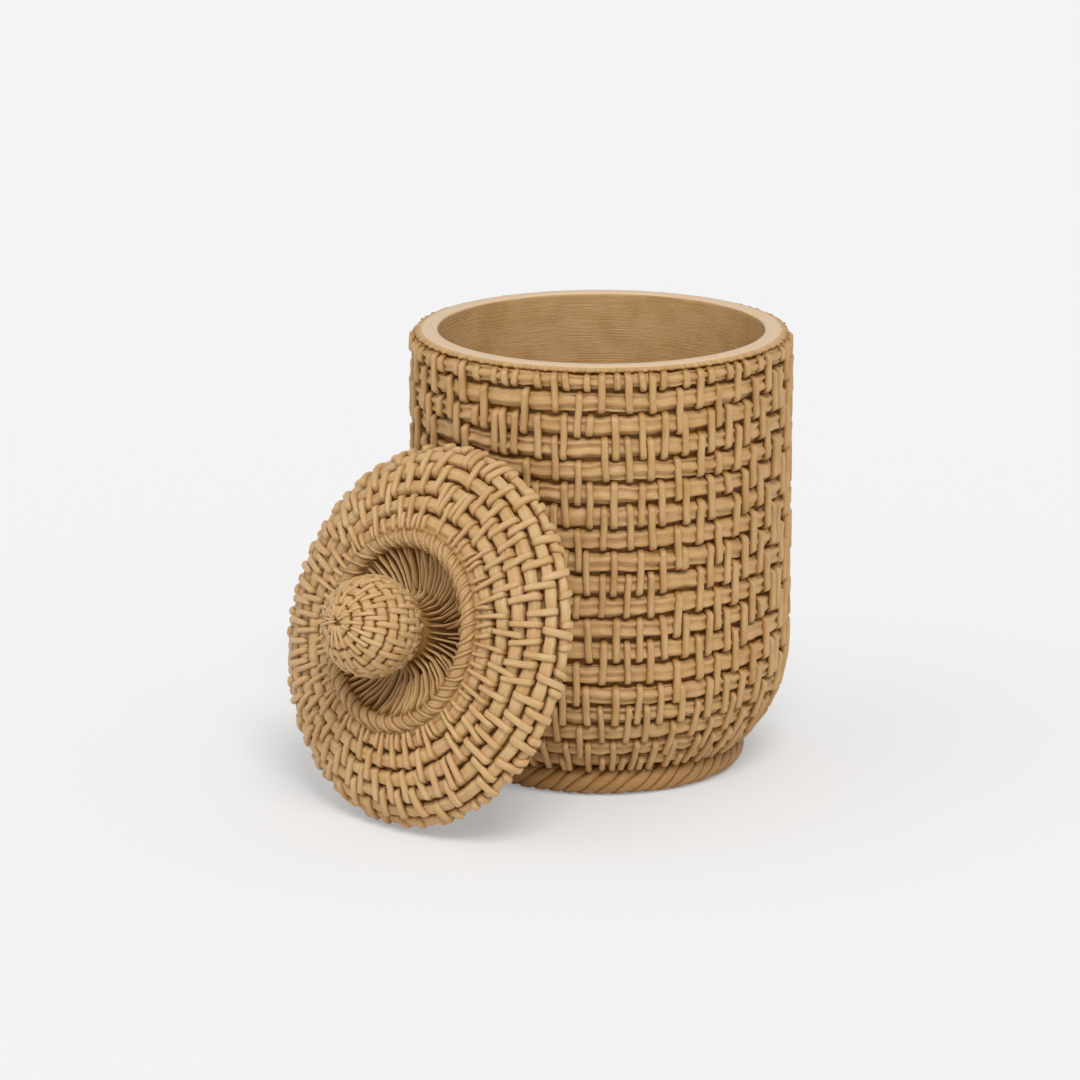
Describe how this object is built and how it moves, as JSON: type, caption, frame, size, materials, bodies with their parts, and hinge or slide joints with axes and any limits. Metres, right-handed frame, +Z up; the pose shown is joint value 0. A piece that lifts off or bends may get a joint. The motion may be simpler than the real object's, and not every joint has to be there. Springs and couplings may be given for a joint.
{
  "type": "woven-look bath canister with lid",
  "caption": "Round cane-look canister with a curved-in base, bound foot ring and smooth rim; its domed lid with a woven ball knob leans beside it.",
  "frame": {"origin": "centre of the foot's flat underside, on the table", "axes": "+Z up along the canister's axis, out of its mouth; +X to the right and +Y away from a viewer who sees the leaning lid at the front left"},
  "size_m": [0.1185, 0.1245, 0.104],
  "materials": {
    "cane_resin": "tan cast resin, satin, darker wash in the hollows of the weave",
    "cane_resin_lid": "tan cast resin, satin, darker wash in the hollows of the weave"
  },
  "bodies": {
    "root": {"canister": "cane_resin", "lid": "cane_resin_lid"}
  },
  "joints": []
}
